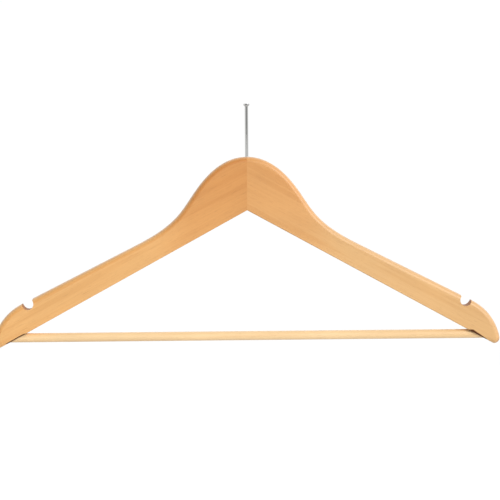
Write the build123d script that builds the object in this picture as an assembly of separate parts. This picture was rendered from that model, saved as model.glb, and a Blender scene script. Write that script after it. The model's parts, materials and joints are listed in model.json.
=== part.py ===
from build123d import *

import os
from math import asin, cos, degrees, radians, sin, tan

# Wooden suit hanger with a swivelling security pin, as separate pieces.
#
# Frame, in millimetres: the origin is on the pin's axis, on the underside of
# the pin's head, where the hanger hangs.  +Z is up along the pin, +X runs
# along the width of the hanger, and the front face looks along -Y.

# ---------------------------------------------------------------- driving sizes
# Whole hanger
overall_width = 446.0       # tip to tip, before the tips are rounded
pin_exposed = 44.4          # underside of the pin's head down to the crown
bar_diameter = 8.0          # trouser bar, a plain dowel
bar_wall = 2.0              # wood left in front of and behind the bar

# Hump over the middle, in heights above the vee where the arms meet underneath
crown_height = 46.4         # top of the hump
crown_fullness = 27.7       # how far the crown holds its level direction
flank_out = 51.1            # steepest point of the hump's side, out from the middle
flank_height = 7.9          # and its height
flank_slope = 55.5          # degrees below level
flank_upper_run = 12.4      # how far the flank holds its direction, above
flank_lower_run = 13.7      # and below that point
shoulder_out = 96.0         # where the straight top edge begins
shoulder_run = 34.0         # how far the blend into it holds the shoulder's direction
shoulder_rise = 18.9        # the straight top edge, carried in to the middle
shoulder_slope = 26.8       # degrees
underside_slope = 28.74     # degrees, so the arm widens outwards

# Ends and edges of the arms
nose_radius = 46.0          # big round of the nose
tip_lift = 12.0             # degrees that the last of the underside turns up by
tip_lift_inset = 5.0        # and where it starts, in from the tip
edge_round = 4.5            # round-over along the hump, the top edge and the nose
tip_over_edge = 0.5         # how much rounder the lowest corner is than that round-over
underside_round = 0.8       # round-over along the underside

# Strap notch
notch_inset = 31.4          # centre of the notch, in from the tip
notch_depth = 2.5           # centre of its bowl below the top edge, straight down
notch_radius = 5.0
notch_undercut = 1.2        # how far the bowl reaches in under the upper lip
notch_reach = 15.0          # how far its cutter stands up past the bowl
upper_lip_radius = 1.8

# Bar seats
bar_inset = 21.5            # where the bar's axis meets the underside, in from the tip
bar_hole_inset = 9.5        # bottom of the blind hole, in from the tip
bar_end_break = 0.8         # chamfer on the bar's ends
bar_fit = 0.10              # radial, so the bar turns by hand
bar_end_gap = 0.5

# Swivel pin
stem_diameter = 3.0
head_diameter = 5.4
head_thickness = 1.5
head_edge = 0.3
neck_diameter = 4.2         # little cone that runs the head into the stem
neck_height = 0.8
foot_diameter = 5.4         # end of the stem, upset under the washer
foot_thickness = 1.6
foot_edge = 0.4
pin_fit = 0.10              # radial, stem in its bore

# Retaining washer and the pocket it turns in
washer_diameter = 8.0
washer_thickness = 1.0
washer_fit = 0.05           # radial, on the stem
washer_play = 0.05          # between the washer and the pocket's roof
pocket_depth = 22.0         # roof of the pocket below the crown
pocket_side_gap = 0.4       # round the washer
pocket_floor_gap = 0.6      # under the foot

# Dowels across the middle joint
dowel_diameter = 5.0
dowel_length = 24.0
dowel_end_break = 0.5
dowel_fit = 0.0             # glued in, drives in tight
dowel_end_gap = 0.5
lowest_dowel = 6.5          # its axis above the vee
dowel_pitch = 8.0
dowel_count = 2

# ---------------------------------------------------------------- sizes that follow
half_width = overall_width / 2
arm_thickness = bar_diameter + 2 * bar_wall
tip_radius = edge_round + tip_over_edge
near_middle = arm_thickness / 4     # edges closer in than this belong to the middle joint
on_line = 0.01                      # how near an edge's ends lie to the line that it is on
tip_slope = underside_slope - tip_lift
crown_z = -pin_exposed
vee_z = crown_z - crown_height

notch_x = half_width - notch_inset

bar_radius = bar_diameter / 2
bar_z = vee_z - tan(radians(underside_slope)) * (half_width - bar_inset)
bar_hole_radius = bar_radius + bar_fit
bar_hole_end = half_width - bar_hole_inset

stem_radius = stem_diameter / 2
bore_radius = stem_radius + pin_fit
pocket_roof = crown_z - pocket_depth
washer_top = pocket_roof - washer_play
foot_top = washer_top - washer_thickness
foot_bottom = foot_top - foot_thickness
pocket_floor = foot_bottom - pocket_floor_gap
pocket_radius = washer_diameter / 2 + pocket_side_gap

dowel_heights = [vee_z + lowest_dowel + i * dowel_pitch for i in range(dowel_count)]


def top_edge(x):
    """Height of the straight top edge of the right arm."""
    return vee_z + shoulder_rise - tan(radians(shoulder_slope)) * x


def underside(x):
    """Height of the straight underside of the right arm."""
    return vee_z - tan(radians(underside_slope)) * x


def tip_underside(x):
    """Height of the line that the underside turns up to at the tip."""
    start = half_width - tip_lift_inset
    return underside(start) - tan(radians(tip_slope)) * (x - start)


def rod_x(x0, x1, z, radius):
    """Round solid along X."""
    return extrude(Plane.YZ.offset(x0) * Pos(0, z) * Circle(radius), x1 - x0)


def rod_z(z0, z1, radius):
    """Round solid along Z, on the pin's axis."""
    return extrude(Plane.XY.offset(z0) * Circle(radius), z1 - z0)


def break_ends(solid, axis, size):
    """Chamfer both ends of a dowel."""
    ends = solid.faces().filter_by(axis)
    return chamfer(ends.edges(), size)


# ---------------------------------------------------------------- arms
def arm_outline():
    """Front view of the right arm, from the middle joint to the tip."""
    level = Vector(1, 0)
    flank = Vector(cos(radians(flank_slope)), -sin(radians(flank_slope)))
    along = Vector(cos(radians(shoulder_slope)), -sin(radians(shoulder_slope)))

    crown = Vector(0, crown_z)
    side = Vector(flank_out, vee_z + flank_height)
    shoulder = Vector(shoulder_out, top_edge(shoulder_out))
    hump = Bezier(crown, crown + level * crown_fullness, side - flank * flank_upper_run, side)
    blend = Bezier(side, side + flank * flank_lower_run, shoulder - along * shoulder_run, shoulder)

    # The nose is an arc tangent to the top edge; it runs down to meet the tip's underside.
    nose_x = half_width - nose_radius
    nose_z = top_edge(nose_x) - nose_radius / cos(radians(shoulder_slope))
    lift = (tip_underside(nose_x) - nose_z) / nose_radius
    foot = degrees(asin(lift * cos(radians(tip_slope)))) - tip_slope
    nose = CenterArc((nose_x, nose_z), nose_radius, foot, 90 - shoulder_slope - foot)
    top = Line(shoulder, nose @ 1)
    rest = Polyline(nose @ 0, (0, tip_underside(0)), crown)
    face = make_face(Curve() + [hump, blend, top, nose, rest])
    lowest = face.vertices().sort_by(Axis.Y)[0]
    return fillet(lowest, tip_radius)


def arm_blank():
    """Right arm before it is bored: flat faces, long edges rounded over."""
    stock = extrude(Plane.XZ * arm_outline(), arm_thickness / 2, both=True)
    on_faces = stock.edges().filter_by(lambda e: abs(e.center().Y) > near_middle)
    long_edges = on_faces.filter_by(lambda e: e.center().X > near_middle)
    stock = fillet(long_edges, edge_round)

    # The underside is planed after that, and only lightly eased.
    deep = underside(overall_width)
    under = make_face(
        Polyline((0, vee_z), (overall_width, deep), (0, deep), (0, vee_z))
    )
    stock -= extrude(Plane.XZ * under, arm_thickness, both=True)
    cut = stock.edges().filter_by(
        lambda e: all(abs(underside(v.X) - v.Z) < on_line for v in e.vertices())
    )
    eased = cut.filter_by(lambda e: e.length > underside_round and e.center().X > near_middle)
    return fillet(eased, underside_round)


def strap_notch():
    """Cutter for the notch: a round bowl, a straight way in, and an eased upper lip."""
    z = top_edge(notch_x) - notch_depth
    wall_x = notch_x - notch_radius + notch_undercut
    way_in = 2 * notch_radius - notch_undercut
    bowl = Pos(notch_x, z) * Circle(notch_radius)
    mouth = Pos(wall_x + way_in / 2, z + notch_reach / 2) * Rectangle(way_in, notch_reach)

    # The lip's arc leaves the top edge and ends along the notch's upright wall.
    along = Vector(cos(radians(shoulder_slope)), -sin(radians(shoulder_slope)))
    corner = Vector(wall_x, top_edge(wall_x))
    setback = upper_lip_radius * tan(radians(45 - shoulder_slope / 2))
    start = corner - along * setback
    end = corner - Vector(0, setback)
    over = Vector(0, notch_reach / 2)
    lip = make_face(
        Curve() + [
            TangentArc(start, end, tangent=along),
            Polyline(end, corner + Vector(way_in / 2, 0), corner + over, start + over, start),
        ]
    )
    return extrude(Plane.XZ * (bowl + mouth + lip), arm_thickness, both=True)


def arm():
    """Right arm, cut for the pin, the washer, the dowels, the bar and the strap."""
    solid = arm_blank() - strap_notch()
    solid -= rod_z(pocket_roof, crown_z + edge_round, bore_radius)
    solid -= rod_z(pocket_floor, pocket_roof, pocket_radius)
    solid -= rod_x(0, bar_hole_end, bar_z, bar_hole_radius)
    for z in dowel_heights:
        solid -= rod_x(0, dowel_length / 2 + dowel_end_gap, z, dowel_diameter / 2 + dowel_fit)
    return solid


# ---------------------------------------------------------------- other pieces
def swivel_pin():
    """Nail-like pin: flat head, little neck, plain stem, foot upset at the end."""
    head = rod_z(0, head_thickness, head_diameter / 2)
    head = fillet(head.edges(), head_edge)
    neck_drop = Plane.XY.offset(-neck_height / 2)
    neck = neck_drop * Cone(stem_radius, neck_diameter / 2, neck_height)
    foot = rod_z(foot_bottom, foot_top, foot_diameter / 2)
    foot = fillet(foot.edges().sort_by(Axis.Z)[0], foot_edge)
    return head + neck + rod_z(foot_top, 0, stem_radius) + foot


def retaining_washer():
    """Flat washer between the foot of the pin and the pocket's roof."""
    disc = rod_z(foot_top, washer_top, washer_diameter / 2)
    return disc - rod_z(foot_top, washer_top, stem_radius + washer_fit)


def centre_dowels():
    """Dowels glued across the middle joint."""
    blanks = [
        rod_x(-dowel_length / 2, dowel_length / 2, z, dowel_diameter / 2) for z in dowel_heights
    ]
    return Compound(children=[break_ends(blank, Axis.X, dowel_end_break) for blank in blanks])


def trouser_bar():
    """Plain round bar between the blind holes of the two arms."""
    reach = bar_hole_end - bar_end_gap
    return break_ends(rod_x(-reach, reach, bar_z, bar_radius), Axis.X, bar_end_break)


right_arm = arm()
pieces = {
    "left_arm": mirror(right_arm, about=Plane.YZ),
    "right_arm": right_arm,
    "centre_dowels": centre_dowels(),
    "swivel_pin": swivel_pin(),
    "retaining_washer": retaining_washer(),
    "trouser_bar": trouser_bar(),
}

os.makedirs("parts", exist_ok=True)
for name, piece in pieces.items():
    export_step(piece, f"parts/{name}.step")
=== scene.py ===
import json
import math

import bmesh
import bpy
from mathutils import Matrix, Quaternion, Vector


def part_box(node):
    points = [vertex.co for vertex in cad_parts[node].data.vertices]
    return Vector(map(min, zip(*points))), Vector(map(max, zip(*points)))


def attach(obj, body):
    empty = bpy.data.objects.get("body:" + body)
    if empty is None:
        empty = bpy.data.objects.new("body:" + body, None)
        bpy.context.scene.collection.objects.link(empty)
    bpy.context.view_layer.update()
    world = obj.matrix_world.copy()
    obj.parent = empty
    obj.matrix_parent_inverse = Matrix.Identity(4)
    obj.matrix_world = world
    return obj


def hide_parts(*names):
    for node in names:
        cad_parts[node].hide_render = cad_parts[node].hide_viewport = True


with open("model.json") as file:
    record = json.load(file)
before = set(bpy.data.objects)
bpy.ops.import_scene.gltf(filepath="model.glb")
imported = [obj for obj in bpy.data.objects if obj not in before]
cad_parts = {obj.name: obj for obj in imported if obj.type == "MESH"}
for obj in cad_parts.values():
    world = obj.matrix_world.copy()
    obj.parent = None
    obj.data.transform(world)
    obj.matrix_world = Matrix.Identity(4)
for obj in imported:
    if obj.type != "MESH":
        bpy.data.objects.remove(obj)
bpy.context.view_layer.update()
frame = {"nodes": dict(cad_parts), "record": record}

# Finishes, light and camera for a wooden suit hanger with a swivelling security
# pin.  The two arms are sanded copies of their CAD meshes; every other piece
# keeps its own mesh and gets its finish here.

# ---------------------------------------------------------------- sizes, metres
ARM_SLOPE = math.radians(27.8)          # middle line of an arm, below level
UNDERSIDE_SLOPE = math.radians(28.74)
MIDDLE_JOINT = 1e-5                     # corners this near x = 0 lie on the middle joint
VEE_Z = min(v.co.z for v in frame["nodes"]["right_arm"].data.vertices if v.co.x < MIDDLE_JOINT)

BAR_LOW, BAR_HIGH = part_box("trouser_bar")
BAR_Z = (BAR_LOW.z + BAR_HIGH.z) / 2
BAR_RADIUS = (BAR_HIGH.z - BAR_LOW.z) / 2

MOUNTS = {mount["name"]: mount["pos_m"] for mount in frame["record"]["mounts"]}
NOTCH_X, _, NOTCH_Z = MOUNTS["right_strap_notch"]
NOTCH_WALL = 0.0053, 0.0060             # the painted shade and burn on its walls fade out between these radii
NOTCH_REACH = 0.0090                    # its rims lie within this distance of its centre
RIM_EASE = 0.0005                       # how much sanding takes off the rims
RIM_OFF_MIDDLE = 0.0010                 # edges that come nearer the board's middle plane aren't rims

WELD = 2e-6                             # corners of loose triangles this close are one corner
FLAT = math.radians(0.05)               # facets that meet flatter than this are one face
CREASE = math.radians(32)               # edges sharper than this stay crisp

# ---------------------------------------------------------------- wood colours
# Each tone is (pale wood, deep bands, pores).
LEFT_BEECH = ((0.86, 0.475, 0.170), (0.70, 0.325, 0.085), (0.42, 0.17, 0.04))
RIGHT_BEECH = ((0.77, 0.455, 0.185), (0.65, 0.340, 0.110), (0.40, 0.17, 0.05))
PALE_DOWEL = ((0.95, 0.67, 0.36), (0.86, 0.55, 0.26), (0.60, 0.36, 0.16))
EDGE_SHEEN_TONE = (0.80, 0.53, 0.32)        # painted sheen on the round-overs
NOTCH_SHADE_AND_BURN = (0.45, 0.165, 0.020)      # walls of the strap notches: painted shade, with the cutter's burn
SEAT_SHADE_TONE = (0.10, 0.030, 0.005)       # painted shade where the bar goes into its holes
DRY_END_GRAIN = (0.80, 0.60, 0.45)      # a stain, multiplied in, as the next one is
EDGE_SHADE_TONE = (0.97, 0.88, 0.76)      # painted shade where the left arm's top edge starts to round over
WHITE = (1.0, 1.0, 1.0)


# ---------------------------------------------------------------- node helpers
def link(tree, a, b):
    tree.links.new(a, b)


def node(tree, kind, **settings):
    made = tree.nodes.new(kind)
    for name, value in settings.items():
        setattr(made, name, value)
    return made


def maths(tree, operation, a, b=None):
    """Math node on sockets or plain numbers."""
    made = node(tree, "ShaderNodeMath", operation=operation)
    for socket, value in zip(made.inputs, (a, b)):
        if value is None:
            continue
        if isinstance(value, (int, float)):
            socket.default_value = value
        else:
            link(tree, value, socket)
    return made.outputs[0]


def spread(tree, value, low, high, out_low=0.0, out_high=1.0, smooth=True):
    """Remap a value, held inside its new limits."""
    made = node(tree, "ShaderNodeMapRange", clamp=True)
    made.interpolation_type = "SMOOTHSTEP" if smooth else "LINEAR"
    link(tree, value, made.inputs["Value"])
    made.inputs["From Min"].default_value = low
    made.inputs["From Max"].default_value = high
    made.inputs["To Min"].default_value = out_low
    made.inputs["To Max"].default_value = out_high
    return made.outputs["Result"]


def mixed(tree, amount, a, b, blend="MIX"):
    """Mix two colours; each may be a socket or a colour."""
    made = node(tree, "ShaderNodeMix", data_type="RGBA", blend_type=blend)
    for socket, value in ((made.inputs[0], amount), (made.inputs[6], a), (made.inputs[7], b)):
        if isinstance(value, (int, float)):
            socket.default_value = value
        elif isinstance(value, tuple):
            socket.default_value = (*value, 1.0)
        else:
            link(tree, value, socket)
    return made.outputs[2]


def darkened(tree, amount, colour, stain):
    """Darken a colour by multiplying in another colour, as far as the mask says."""
    return mixed(tree, amount, colour, mixed(tree, 1.0, colour, stain, "MULTIPLY"))


def noise(tree, where, scale, detail, roughness=0.5):
    made = node(tree, "ShaderNodeTexNoise", noise_dimensions="3D")
    link(tree, where, made.inputs["Vector"])
    made.inputs["Scale"].default_value = scale
    made.inputs["Detail"].default_value = detail
    made.inputs["Roughness"].default_value = roughness
    return made.outputs["Fac"]


def stretched(tree, where, along, across, through):
    """Scale a pattern's space: cells per metre along the grain, up the board and through it."""
    made = node(tree, "ShaderNodeMapping")
    link(tree, where, made.inputs["Vector"])
    made.inputs["Scale"].default_value = (along, through, across)
    return made.outputs["Vector"]


def mapped(tree, where, place, turn):
    """Shift and turn a pattern on its piece."""
    made = node(tree, "ShaderNodeMapping")
    link(tree, where, made.inputs["Vector"])
    made.inputs["Location"].default_value = place
    made.inputs["Rotation"].default_value = turn
    return made.outputs["Vector"]


def axis(tree, where, letter):
    made = node(tree, "ShaderNodeSeparateXYZ")
    link(tree, where, made.inputs[0])
    return made.outputs[letter]


def facing(tree, direction):
    """How far the surface faces a direction, from -1 to 1."""
    made = node(tree, "ShaderNodeVectorMath", operation="DOT_PRODUCT")
    link(tree, node(tree, "ShaderNodeTexCoord").outputs["Normal"], made.inputs[0])
    made.inputs[1].default_value = direction
    return made.outputs["Value"]


def facing_front(tree):
    """One on the front and back faces of the board, zero on its edges."""
    return maths(tree, "ABSOLUTE", facing(tree, (0, 1, 0)))


def surface(name):
    """New material: its tree, its Principled shader and its Object coordinates."""
    made = bpy.data.materials.new(name)
    made.use_nodes = True
    tree = made.node_tree
    shader = tree.nodes["Principled BSDF"]
    where = node(tree, "ShaderNodeTexCoord").outputs["Object"]
    return made, tree, shader, where


def bumped(tree, shader, height, strength, distance):
    """Feed a height to the shader's normal."""
    bump = node(tree, "ShaderNodeBump")
    bump.inputs["Strength"].default_value = strength
    bump.inputs["Distance"].default_value = distance
    link(tree, height, bump.inputs["Height"])
    link(tree, bump.outputs["Normal"], shader.inputs["Normal"])


# ---------------------------------------------------------------- wood grain
FLOAT, COLOUR, VECTOR = "NodeSocketFloat", "NodeSocketColor", "NodeSocketVector"


def group(name, inputs, outputs):
    """Empty shader group with its sockets; returns the group, its inputs and its end."""
    tree = bpy.data.node_groups.new(name, "ShaderNodeTree")
    for title, kind, value in inputs:
        socket = tree.interface.new_socket(title, in_out="INPUT", socket_type=kind)
        if value is not None:
            socket.default_value = value
    for title, kind in outputs:
        tree.interface.new_socket(title, in_out="OUTPUT", socket_type=kind)
    start = tree.nodes.new("NodeGroupInput")
    end = tree.nodes.new("NodeGroupOutput")
    return tree, start.outputs, end.inputs


def wandering(tree, where):
    """Bend the grain a little up and down along the board."""
    wander = noise(tree, stretched(tree, where, 4, 10, 10), 1.0, 2.0)
    lifted = node(tree, "ShaderNodeCombineXYZ")
    link(tree, maths(tree, "MULTIPLY", maths(tree, "SUBTRACT", wander, 0.5), 0.006), lifted.inputs["Z"])
    bent = node(tree, "ShaderNodeVectorMath", operation="ADD")
    link(tree, where, bent.inputs[0])
    link(tree, lifted.outputs[0], bent.inputs[1])
    return bent.outputs[0]


def make_wood_grain():
    """Straight-grained hardwood: X of the vector runs along the grain.

    Broad growth bands, narrower rings, fine streaks and short pores; also a
    height for the bump and a gloss variation.
    """
    tree, given, out = group(
        "wood_grain",
        [
            ("Vector", VECTOR, None),
            ("Pale", COLOUR, (0.75, 0.45, 0.20, 1)),
            ("Deep", COLOUR, (0.60, 0.30, 0.10, 1)),
            ("Pore", COLOUR, (0.35, 0.16, 0.06, 1)),
            ("Bands", FLOAT, 0.5),
            ("Rings", FLOAT, 0.5),
            ("Streaks", FLOAT, 0.4),
            ("Pores", FLOAT, 0.4),
        ],
        [("Color", COLOUR), ("Height", FLOAT), ("Rough", FLOAT)],
    )
    where = given["Vector"]
    bent = wandering(tree, where)
    broad = noise(tree, stretched(tree, bent, 3, 120, 110), 1.0, 2.0, 0.5)
    bands = spread(tree, broad, 0.34, 0.68)
    narrow = noise(tree, stretched(tree, bent, 6, 160, 620), 1.0, 2.0, 0.6)
    rings = spread(tree, narrow, 0.52, 0.64)
    fine = noise(tree, stretched(tree, bent, 14, 900, 500), 1.0, 3.0, 0.6)
    streaks = spread(tree, fine, 0.36, 0.70)
    dashes = noise(tree, stretched(tree, bent, 130, 3200, 2600), 1.0, 1.0, 0.5)
    pores = spread(tree, dashes, 0.63, 0.76)
    cloud = noise(tree, stretched(tree, where, 16, 40, 40), 1.0, 2.0)

    colour = given["Pale"]
    for pattern, share, tone in (
        (bands, "Bands", "Deep"),
        (rings, "Rings", "Deep"),
        (streaks, "Streaks", "Deep"),
        (pores, "Pores", "Pore"),
    ):
        colour = mixed(tree, maths(tree, "MULTIPLY", pattern, given[share]), colour, given[tone])
    shade = spread(tree, cloud, 0.25, 0.75, 0.94, 1.05, smooth=False)
    link(tree, mixed(tree, 1.0, colour, shade, "MULTIPLY"), out["Color"])

    height = maths(tree, "MULTIPLY", streaks, -0.35)
    link(tree, maths(tree, "SUBTRACT", height, pores), out["Height"])
    rough = maths(tree, "MULTIPLY", maths(tree, "SUBTRACT", cloud, 0.5), 0.10)
    link(tree, maths(tree, "ADD", rough, maths(tree, "MULTIPLY", pores, 0.12)), out["Rough"])
    return tree


WOOD_GRAIN = make_wood_grain()


# ---------------------------------------------------------------- marks of making, painted shade and painted sheen
def hump_tint(tree, where, colour, tint):
    """Darker and redder over the hump than out along the arms, most of all towards the top of the hump."""
    x = maths(tree, "ABSOLUTE", axis(tree, where, "X"))
    near = spread(tree, x, 0.045, 0.090, 1.0, 0.0)
    up = spread(tree, axis(tree, where, "Z"), VEE_Z - 0.03, VEE_Z + 0.04, 0.6, 1.0)
    return darkened(tree, maths(tree, "MULTIPLY", near, up), colour, tint)


def edge_shade_band(tree, colour, slope):
    """Painted shade: darker and warmer where the top edge starts to round over, away from the light."""
    tilt = facing(tree, (math.sin(slope), 0, math.cos(slope)))
    amount = maths(tree, "MULTIPLY", spread(tree, tilt, 0.0, 0.06), spread(tree, tilt, 0.25, 0.65, 1.0, 0.0))
    return darkened(tree, amount, colour, EDGE_SHADE_TONE)


def edge_sheen(tree, colour):
    """Painted sheen: the round-overs are made paler where they turn away from the front."""
    amount = spread(tree, facing_front(tree), 0.45, 0.88, 0.55, 0.0)
    return mixed(tree, amount, colour, EDGE_SHEEN_TONE)


def end_grain(tree, colour, slope):
    """Cuts across the grain drink more lacquer and dry darker."""
    across = maths(tree, "ABSOLUTE", facing(tree, (math.cos(slope), 0, -math.sin(slope))))
    return darkened(tree, spread(tree, across, 0.35, 0.95), colour, DRY_END_GRAIN)


def bar_seat_shade_mask(tree, where, low_end, high_end):
    """Mask of painted shade at the mouth of the bar's hole, along the underside where the bar goes in.

    low_end and high_end are its width beside the bottom and the top of the bar.
    """
    x = maths(tree, "ABSOLUTE", axis(tree, where, "X"))
    z = axis(tree, where, "Z")
    rise = maths(tree, "SUBTRACT", z, BAR_Z)
    beside = spread(tree, maths(tree, "ABSOLUTE", rise), BAR_RADIUS, BAR_RADIUS + 0.0008, 1.0, 0.0)
    width = spread(tree, rise, -BAR_RADIUS, BAR_RADIUS, low_end, high_end, smooth=False)
    over = maths(tree, "ADD", z, maths(tree, "MULTIPLY", x, math.tan(UNDERSIDE_SLOPE)))
    inside = maths(tree, "MULTIPLY", maths(tree, "SUBTRACT", over, VEE_Z), math.cos(UNDERSIDE_SLOPE))
    low = spread(tree, maths(tree, "DIVIDE", inside, width), 0.8, 1.2, 1.0, 0.0)
    return maths(tree, "MULTIPLY", beside, low)


def notch_shade_and_burn(tree, where):
    """Mask of the walls of the strap notch, painted darker: painted shade in the notch, with the burn the
    cutter leaves.
    """
    wall = spread(tree, facing_front(tree), 0.10, 0.35, 1.0, 0.0)
    x = maths(tree, "SUBTRACT", maths(tree, "ABSOLUTE", axis(tree, where, "X")), NOTCH_X)
    z = maths(tree, "SUBTRACT", axis(tree, where, "Z"), NOTCH_Z)
    out = maths(tree, "SQRT", maths(tree, "ADD", maths(tree, "POWER", x, 2.0), maths(tree, "POWER", z, 2.0)))
    return maths(tree, "MULTIPLY", wall, spread(tree, out, *NOTCH_WALL, 1.0, 0.0))


# ---------------------------------------------------------------- finishes
def lacquered_wood(name, tones, place, shares, slope=0.0, roughness=0.42):
    """Clear satin lacquer over hardwood, with the grain along the piece.

    place shifts the grain pattern, so that no two pieces share it; shares says how
    strong its bands, rings, streaks and pores are; slope is how far its right end
    points below level.
    """
    made, tree, shader, where = surface(name)
    grain = node(tree, "ShaderNodeGroup")
    grain.node_tree = WOOD_GRAIN
    link(tree, mapped(tree, where, place, (0, -slope, 0)), grain.inputs["Vector"])
    for title, value in zip(("Pale", "Deep", "Pore"), tones):
        grain.inputs[title].default_value = (*value, 1)
    for title, value in zip(("Bands", "Rings", "Streaks", "Pores"), shares):
        grain.inputs[title].default_value = value
    link(tree, grain.outputs["Color"], shader.inputs["Base Color"])
    link(tree, maths(tree, "ADD", grain.outputs["Rough"], roughness), shader.inputs["Roughness"])
    bumped(tree, shader, grain.outputs["Height"], 0.05, 0.0002)
    shader.inputs["Specular IOR Level"].default_value = 0.2
    shader.inputs["Coat Weight"].default_value = 1.0
    shader.inputs["Coat Roughness"].default_value = 0.42
    shader.inputs["Coat IOR"].default_value = 1.5
    return made, tree, shader, where, grain.outputs["Color"]


def arm_wood(name, tones, place, shares, slope, tint, seat, shaded_edge=False):
    """Lacquered wood of an arm, with its tinted hump, painted sheen on its edges, painted shade where the
    bar goes in and darkened notch walls.

    seat is the width of the painted shade beside the bottom and the top of the bar.
    """
    made, tree, shader, where, colour = lacquered_wood(name, tones, place, shares, slope)
    colour = hump_tint(tree, where, colour, tint)
    # painted shade on the top edge's round-over
    if shaded_edge:
        colour = edge_shade_band(tree, colour, slope)
    # painted sheen on the round-overs
    colour = edge_sheen(tree, colour)
    colour = end_grain(tree, colour, slope)
    # painted shade along the underside where the bar goes in
    seat_shade = bar_seat_shade_mask(tree, where, *seat)
    colour = mixed(tree, seat_shade, colour, SEAT_SHADE_TONE)
    # notch walls darkened: painted shade in the notch, with the cutter's burn
    walls = notch_shade_and_burn(tree, where)
    colour = mixed(tree, walls, colour, NOTCH_SHADE_AND_BURN)
    link(tree, colour, shader.inputs["Base Color"])
    # the coat is left off where shade is painted, so that it stays dark
    uncoated_shade = maths(tree, "MAXIMUM", seat_shade, walls)
    link(tree, maths(tree, "SUBTRACT", 1.0, uncoated_shade), shader.inputs["Coat Weight"])
    return made


def dowel_wood(name, place, shares, roughness=0.42):
    """Lacquered wood of a pale dowel."""
    return lacquered_wood(name, PALE_DOWEL, place, shares, roughness=roughness)[0]


def plated(name, colour, roughness, marks):
    """Plated metal with fine drawing marks along Z, seen only in the highlights."""
    made, tree, shader, where = surface(name)
    shader.inputs["Base Color"].default_value = (*colour, 1)
    shader.inputs["Metallic"].default_value = 1.0
    drawn = noise(tree, stretched(tree, where, 2200, 90, 2200), 1.0, 2.0)
    smear = noise(tree, stretched(tree, where, 160, 160, 160), 1.0, 3.0)
    rough = spread(tree, smear, 0.3, 0.7, roughness * 0.8, roughness * 1.35, smooth=False)
    link(tree, rough, shader.inputs["Roughness"])
    bumped(tree, shader, drawn, marks, 0.00005)
    return made


# ---------------------------------------------------------------- pieces
def is_rim(edge):
    """A sharp edge where a strap notch breaks through the face of its arm."""
    return (
        len(edge.link_faces) == 2
        and edge.calc_face_angle() > CREASE
        and all(
            math.hypot(abs(vert.co.x) - NOTCH_X, vert.co.z - NOTCH_Z) < NOTCH_REACH
            and abs(vert.co.y) > RIM_OFF_MIDDLE
            for vert in edge.verts
        )
    )


def sanded_arm(name):
    """The arm with its facets joined up, and the rims of its strap notch eased by sanding."""
    bm = bmesh.new()
    bm.from_mesh(frame["nodes"][name].data)
    bmesh.ops.remove_doubles(bm, verts=bm.verts, dist=WELD)
    bmesh.ops.dissolve_limit(bm, angle_limit=FLAT, verts=bm.verts, edges=bm.edges)
    rims = [edge for edge in bm.edges if is_rim(edge)]
    bmesh.ops.bevel(bm, geom=rims, offset=RIM_EASE, segments=2, profile=0.5, affect="EDGES",
                    material=-1, clamp_overlap=True)
    mesh = bpy.data.meshes.new(name + "_sanded")
    bm.to_mesh(mesh)
    bm.free()
    mesh.polygons.foreach_set("use_smooth", [True] * len(mesh.polygons))
    mesh.set_sharp_from_angle(angle=CREASE)
    piece = bpy.data.objects.new(name + "_sanded", mesh)
    bpy.context.scene.collection.objects.link(piece)
    weighted = piece.modifiers.new("flat faces stay flat", "WEIGHTED_NORMAL")
    weighted.keep_sharp = True
    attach(piece, "hanger")
    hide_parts(name)
    return piece


def finish(piece, material):
    piece.data.materials.clear()
    piece.data.materials.append(material)


def finish_pieces():
    """Every piece gets its own finish; hidden ones too."""
    nodes = frame["nodes"]
    # only the left arm gets painted shade on its top edge; seat sets the width of painted shade where the
    # bar goes in
    finish(sanded_arm("right_arm"), arm_wood(
        "right_arm_beech", RIGHT_BEECH, (0.0, 0.0, 0.0), (0.15, 0.40, 0.30, 0.35),
        slope=ARM_SLOPE, tint=(0.97, 0.79, 0.58), seat=(0.0006, 0.0021)))
    finish(sanded_arm("left_arm"), arm_wood(
        "left_arm_beech", LEFT_BEECH, (0.35, 0.06, 0.013), (0.15, 0.30, 0.30, 0.35),
        slope=-ARM_SLOPE, tint=(0.79, 0.625, 0.425), seat=(0.0010, 0.0010), shaded_edge=True))
    finish(nodes["trouser_bar"], dowel_wood(
        "trouser_bar_wood", (0.1, 0.3, 0.2), (0.4, 0.4, 0.3, 0.3)))
    finish(nodes["centre_dowels"], dowel_wood(
        "centre_dowel_wood", (0.2, 0.1, 0.3), (0.4, 0.4, 0.3, 0.4), roughness=0.6))
    finish(nodes["swivel_pin"], plated("plated_pin", (0.62, 0.62, 0.61), 0.05, 0.01))
    finish(nodes["retaining_washer"], plated("zinc_washer", (0.60, 0.61, 0.62), 0.35, 0.20))


# ---------------------------------------------------------------- room, light, camera
FLOOR_Z = -1.6                          # a hanging rail's height above the floor
FLOOR_REACH = 8.0
MIDDLE = (0, 0, -0.12)                  # middle of the hanger, where the lamps point

FRAME_WIDTH = 0.4376                    # what the camera takes in at the hanger
CAMERA_DISTANCE = 1.15
CAMERA_AIM = Vector((0.0024, 0.0, -0.1258))
CAMERA_YAW = math.radians(-1.5)         # a little from the left
CAMERA_RISE = math.radians(4.5)         # and from above
CAMERA_ROLL = math.radians(-0.35)
SENSOR_WIDTH = 36.0


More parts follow.
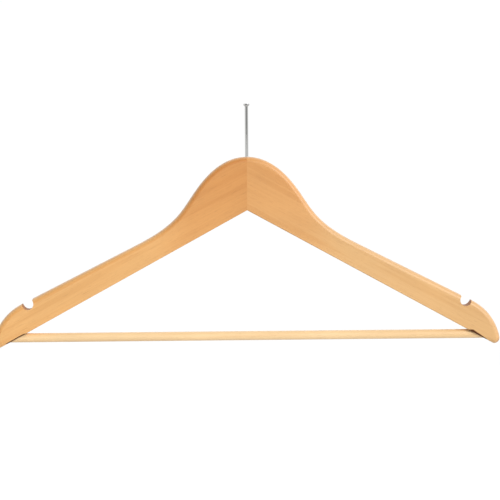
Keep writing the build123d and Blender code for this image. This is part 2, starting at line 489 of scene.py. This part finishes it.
def make_floor():
    bm = bmesh.new()
    bmesh.ops.create_grid(bm, x_segments=1, y_segments=1, size=FLOOR_REACH)
    bmesh.ops.translate(bm, verts=bm.verts, vec=(0, 0, FLOOR_Z))
    mesh = bpy.data.meshes.new("floor")
    bm.to_mesh(mesh)
    bm.free()
    floor = bpy.data.objects.new("floor", mesh)
    bpy.context.scene.collection.objects.link(floor)
    made, tree, shader, where = surface("pale_floor")
    shader.inputs["Base Color"].default_value = (0.72, 0.72, 0.72, 1)
    shader.inputs["Roughness"].default_value = 0.9
    shader.inputs["Emission Color"].default_value = (*WHITE, 1)
    seen = node(tree, "ShaderNodeLightPath").outputs["Is Camera Ray"]
    link(tree, maths(tree, "MULTIPLY", seen, 0.6), shader.inputs["Emission Strength"])
    mesh.materials.append(made)


def make_world():
    """Pale room that the finishes reflect; the camera itself sees plain white.

    The left side is dim, with one low bright strip, and the right side is
    brighter.  In front it is pale up to eye level and darker above, and behind
    it is white.
    """
    world = bpy.data.worlds.new("studio")
    bpy.context.scene.world = world
    world.use_nodes = True
    tree = world.node_tree
    back = tree.nodes["Background"]
    where = node(tree, "ShaderNodeTexCoord").outputs["Generated"]
    x, y, z = (axis(tree, where, letter) for letter in "XYZ")
    sides = spread(tree, x, -0.6, 0.8, 0.34, 0.80)
    strip = maths(tree, "MULTIPLY", spread(tree, x, -0.9, -0.6, 1.0, 0.0),
                  spread(tree, maths(tree, "ABSOLUTE", z), 0.10, 0.25, 1.0, 0.0))
    sides = mixed(tree, strip, sides, (0.95, 0.95, 0.95))
    above = spread(tree, z, 0.003, 0.010)
    front_tone = mixed(tree, above, (0.80, 0.80, 0.79), (0.36, 0.36, 0.355))
    room = mixed(tree, spread(tree, y, -0.80, -0.45, 1.0, 0.0), sides, front_tone)
    room = mixed(tree, spread(tree, y, -0.10, 0.45), room, (0.98, 0.98, 0.98))
    seen = node(tree, "ShaderNodeLightPath").outputs["Is Camera Ray"]
    link(tree, mixed(tree, seen, room, (1.02, 1.02, 1.02)), back.inputs["Color"])
    back.inputs["Strength"].default_value = 1.0


def softbox(name, place, size, power):
    """Soft rectangular lamp that points at the middle of the hanger."""
    data = bpy.data.lights.new(name, "AREA")
    data.shape = "RECTANGLE"
    data.size, data.size_y = size
    data.energy = power
    lamp = bpy.data.objects.new(name, data)
    lamp.location = place
    lamp.rotation_euler = (Vector(MIDDLE) - Vector(place)).to_track_quat("-Z", "Y").to_euler()
    bpy.context.scene.collection.objects.link(lamp)


def make_camera():
    data = bpy.data.cameras.new("camera")
    data.sensor_width = SENSOR_WIDTH
    data.lens = SENSOR_WIDTH * CAMERA_DISTANCE / FRAME_WIDTH
    camera = bpy.data.objects.new("camera", data)
    level = Vector((math.sin(CAMERA_YAW), -math.cos(CAMERA_YAW), 0))
    back = level * math.cos(CAMERA_RISE) + Vector((0, 0, math.sin(CAMERA_RISE)))
    camera.location = CAMERA_AIM + back * CAMERA_DISTANCE
    turn = back.to_track_quat("Z", "Y") @ Quaternion((0, 0, 1), CAMERA_ROLL)
    camera.rotation_euler = turn.to_euler()
    bpy.context.scene.collection.objects.link(camera)
    bpy.context.scene.camera = camera


finish_pieces()
bpy.context.scene.view_settings.view_transform = "Standard"
make_floor()
make_world()
softbox("key_upper_right", (3.0, -3.6, 2.0), (3.0, 3.0), 165)
softbox("fill_over_camera", (0.1, -2.6, 0.66), (1.4, 0.6), 7)
make_camera()
